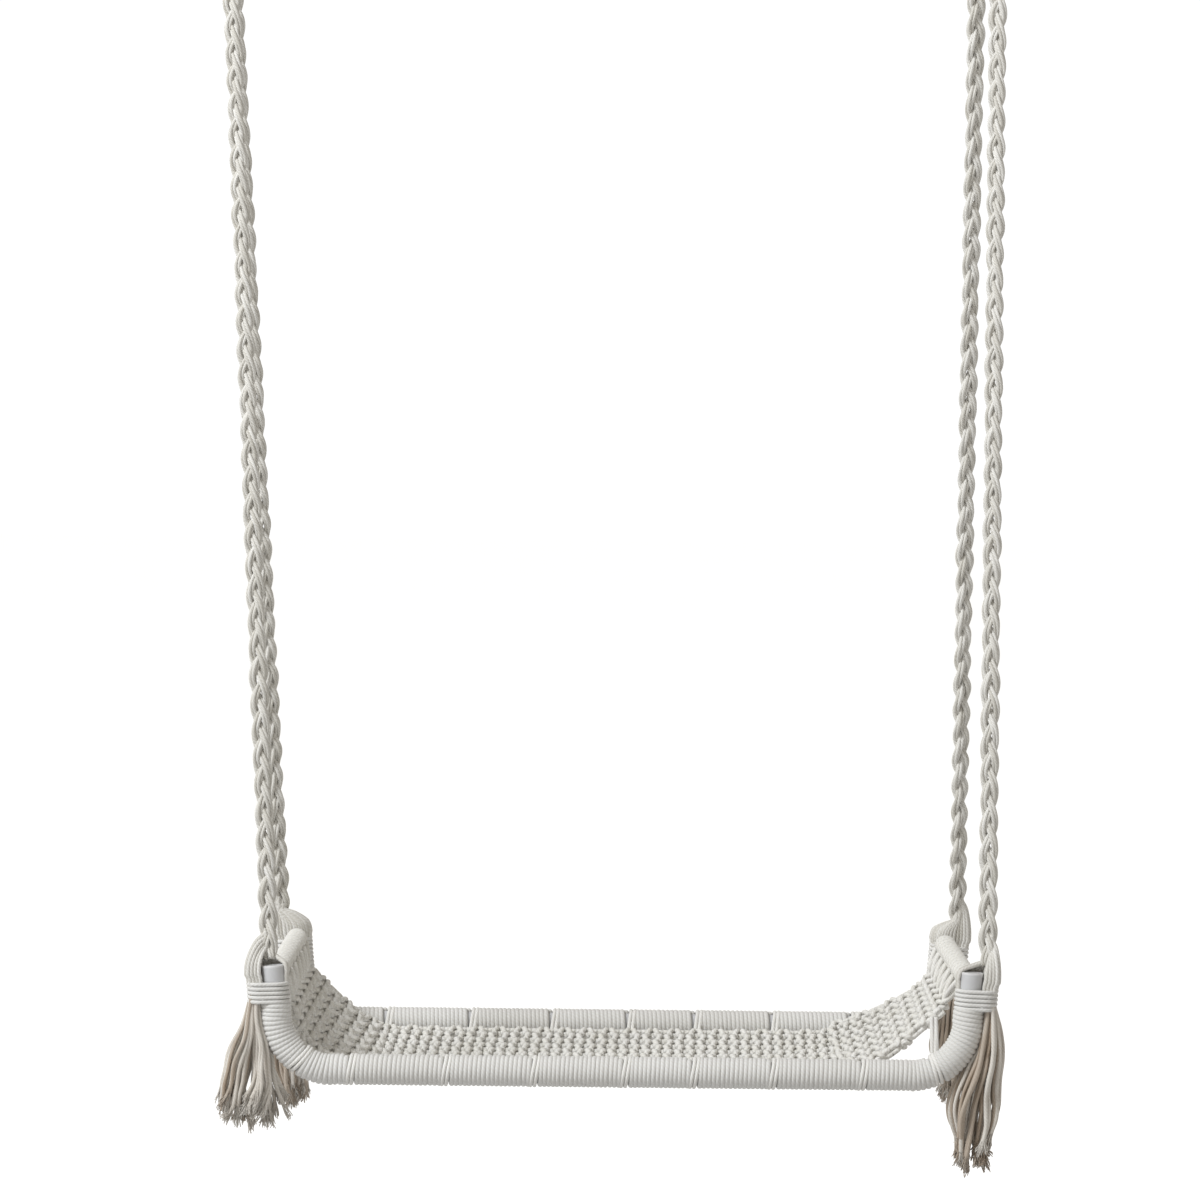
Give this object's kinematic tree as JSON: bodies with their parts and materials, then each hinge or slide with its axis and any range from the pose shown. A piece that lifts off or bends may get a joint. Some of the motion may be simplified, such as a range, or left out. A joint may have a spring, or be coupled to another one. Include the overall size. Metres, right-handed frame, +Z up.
{
  "type": "macrame net swing seat",
  "caption": "Swing seat of knotted cotton net on two bent tube bars wound with cord, hung by braided ropes from rings and ceiling hooks, with tassels at its corners.",
  "frame": {"origin": "on the ceiling, midway between the two hooks", "axes": "+X from the left hook to the right one, +Y from the seat's front bar to its rear bar, +Z up out of the ceiling plates"},
  "size_m": [0.82, 0.348, 1.295],
  "materials": {
    "tube_paint": "white powder coat, satin",
    "cap_plastic": "white moulded plastic",
    "zinc_steel": "bright zinc plate",
    "rope_cord": "twisted cotton cord, braided",
    "wound_cord": "twisted cotton cord, wound tight",
    "net_cord": "twisted cotton cord, knotted",
    "loose_cord": "twisted cotton cord with frayed ends"
  },
  "bodies": {
    "hangers": {"left_ceiling_plate": "zinc_steel", "right_ceiling_plate": "zinc_steel", "left_hook": "zinc_steel", "right_hook": "zinc_steel"},
    "left_ring": {"left_ring": "zinc_steel"},
    "left_ropes": {"front_left_rope": "rope_cord", "front_left_collar": "rope_cord", "front_left_eye": "rope_cord", "rear_left_rope": "rope_cord", "rear_left_collar": "rope_cord", "rear_left_eye": "rope_cord"},
    "seat": {"front_bar_tube": "tube_paint", "rear_bar_tube": "tube_paint", "front_bar_wrap": "wound_cord", "rear_bar_wrap": "wound_cord", "left_side_bar": "tube_paint", "right_side_bar": "tube_paint", "left_side_wrap": "net_cord", "right_side_wrap": "net_cord", "left_side_net": "net_cord", "right_side_net": "net_cord", "seat_net": "net_cord", "front_left_cap": "cap_plastic", "front_left_band": "wound_cord", "front_left_hood": "rope_cord", "front_left_tassel": "loose_cord", "rear_left_cap": "cap_plastic", "rear_left_band": "wound_cord", "rear_left_hood": "rope_cord", "rear_left_tassel": "loose_cord", "front_right_cap": "cap_plastic", "front_right_band": "wound_cord", "front_right_hood": "rope_cord", "front_right_tassel": "loose_cord", "rear_right_cap": "cap_plastic", "rear_right_band": "wound_cord", "rear_right_hood": "rope_cord", "rear_right_tassel": "loose_cord"},
    "right_ropes": {"right_ring": "zinc_steel", "front_right_rope": "rope_cord", "front_right_collar": "rope_cord", "front_right_eye": "rope_cord", "rear_right_rope": "rope_cord", "rear_right_collar": "rope_cord", "rear_right_eye": "rope_cord"}
  },
  "joints": [
    {"name": "swing", "type": "hinge", "parent": "hangers", "child": "left_ring", "pos_m": [0, 0, -0.04442], "axis": [1, 0, 0], "range_deg": [-40, 40]},
    {"name": "sway", "type": "hinge", "parent": "left_ring", "child": "left_ropes", "pos_m": [-0.3735, 0, -0.09742], "axis": [0, 1, 0], "range_deg": [-8, 8]},
    {"name": "seat_sway", "type": "hinge", "parent": "left_ropes", "child": "seat", "pos_m": [-0.3225, 0, -1.07], "axis": [0, 1, 0], "range_deg": [-8.7, 8.7]},
    {"name": "right_rope_sway", "type": "hinge", "parent": "seat", "child": "right_ropes", "pos_m": [0.3725, 0, -1.077], "axis": [0, 1, 0], "range_deg": [-8.3, 8.3]}
  ],
  "couplings": [
    {"joint": "seat_sway", "follows": "sway", "ratio": -1.0748},
    {"joint": "right_rope_sway", "follows": "sway", "ratio": 1.0239}
  ]
}
